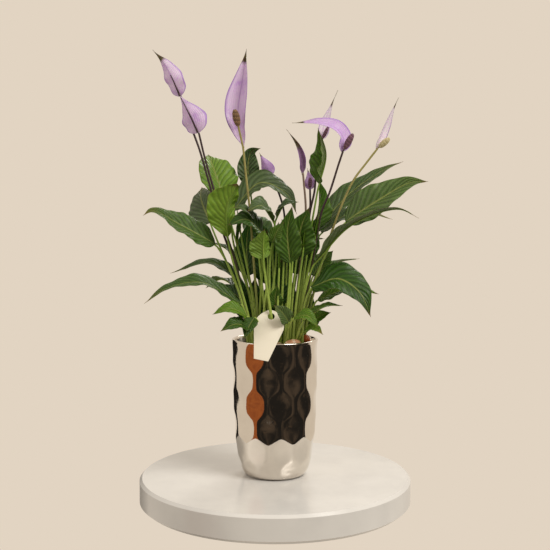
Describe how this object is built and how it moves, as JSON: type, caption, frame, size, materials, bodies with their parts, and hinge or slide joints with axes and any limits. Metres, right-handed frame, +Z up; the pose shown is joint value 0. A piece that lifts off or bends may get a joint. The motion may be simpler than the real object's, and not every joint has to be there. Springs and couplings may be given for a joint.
{
  "type": "potted peace lily",
  "caption": "Flowering plant with arching glossy leaves and hooded spathes on tall stems, in a tall mirror-glazed vase with a honeycomb relief, with a blank paper tag.",
  "frame": {"origin": "centre of the vase's flat foot, on the surface it stands on", "axes": "+Z up along the vase's axis, -Y the front, where the tag hangs, +X to the right seen from the front"},
  "size_m": [0.4152, 0.2401, 0.6385],
  "materials": {
    "mirror_glaze": "polished",
    "pot_plastic": "matte",
    "fired_clay": "matte",
    "soil": "matte",
    "peach_stone": "satin",
    "rust_stone": "satin",
    "grey_stone": "satin",
    "card": "matte",
    "leaf": "satin",
    "dark_stem": "satin",
    "green_stem": "satin",
    "spathe": "satin"
  },
  "bodies": {
    "root": {"vase": "mirror_glaze", "clay_pebble_bed": "fired_clay", "grower_pot": "pot_plastic", "potting_soil": "soil", "pebble_peach": "peach_stone", "pebble_rust": "rust_stone", "pebble_grey": "grey_stone", "paper_tag": "card", "leaf_01": "leaf", "leaf_02": "leaf", "leaf_03": "leaf", "leaf_04": "leaf", "leaf_05": "leaf", "leaf_06": "leaf", "leaf_07": "leaf", "leaf_08": "leaf", "leaf_09": "leaf", "leaf_10": "leaf", "leaf_11": "leaf", "leaf_12": "leaf", "leaf_13": "leaf", "leaf_14": "leaf", "leaf_15": "leaf", "leaf_16": "leaf", "leaf_17": "leaf", "leaf_18": "leaf", "leaf_19": "leaf", "leaf_20": "leaf", "leaf_21": "leaf", "leaf_22": "leaf", "leaf_23": "leaf", "leaf_24": "leaf", "leaf_25": "leaf", "leaf_26": "leaf", "leaf_27": "leaf", "leaf_28": "leaf", "leaf_29": "leaf", "leaf_30": "leaf", "leaf_31": "leaf", "leaf_32": "leaf", "leaf_33": "leaf", "flower_1_stem": "dark_stem", "flower_1_spathe": "spathe", "flower_2_stem": "dark_stem", "flower_2_spathe": "spathe", "flower_3_stem": "green_stem", "flower_3_spathe": "spathe", "flower_4_stem": "dark_stem", "flower_4_spathe": "spathe", "flower_5_stem": "green_stem", "flower_5_bud": "spathe", "flower_6_stem": "dark_stem", "flower_6_spathe": "spathe", "flower_7_stem": "dark_stem", "flower_7_spathe": "spathe", "flower_8_stem": "dark_stem", "flower_8_spathe": "spathe", "flower_9_stem": "green_stem", "flower_9_spathe": "spathe"}
  },
  "joints": []
}
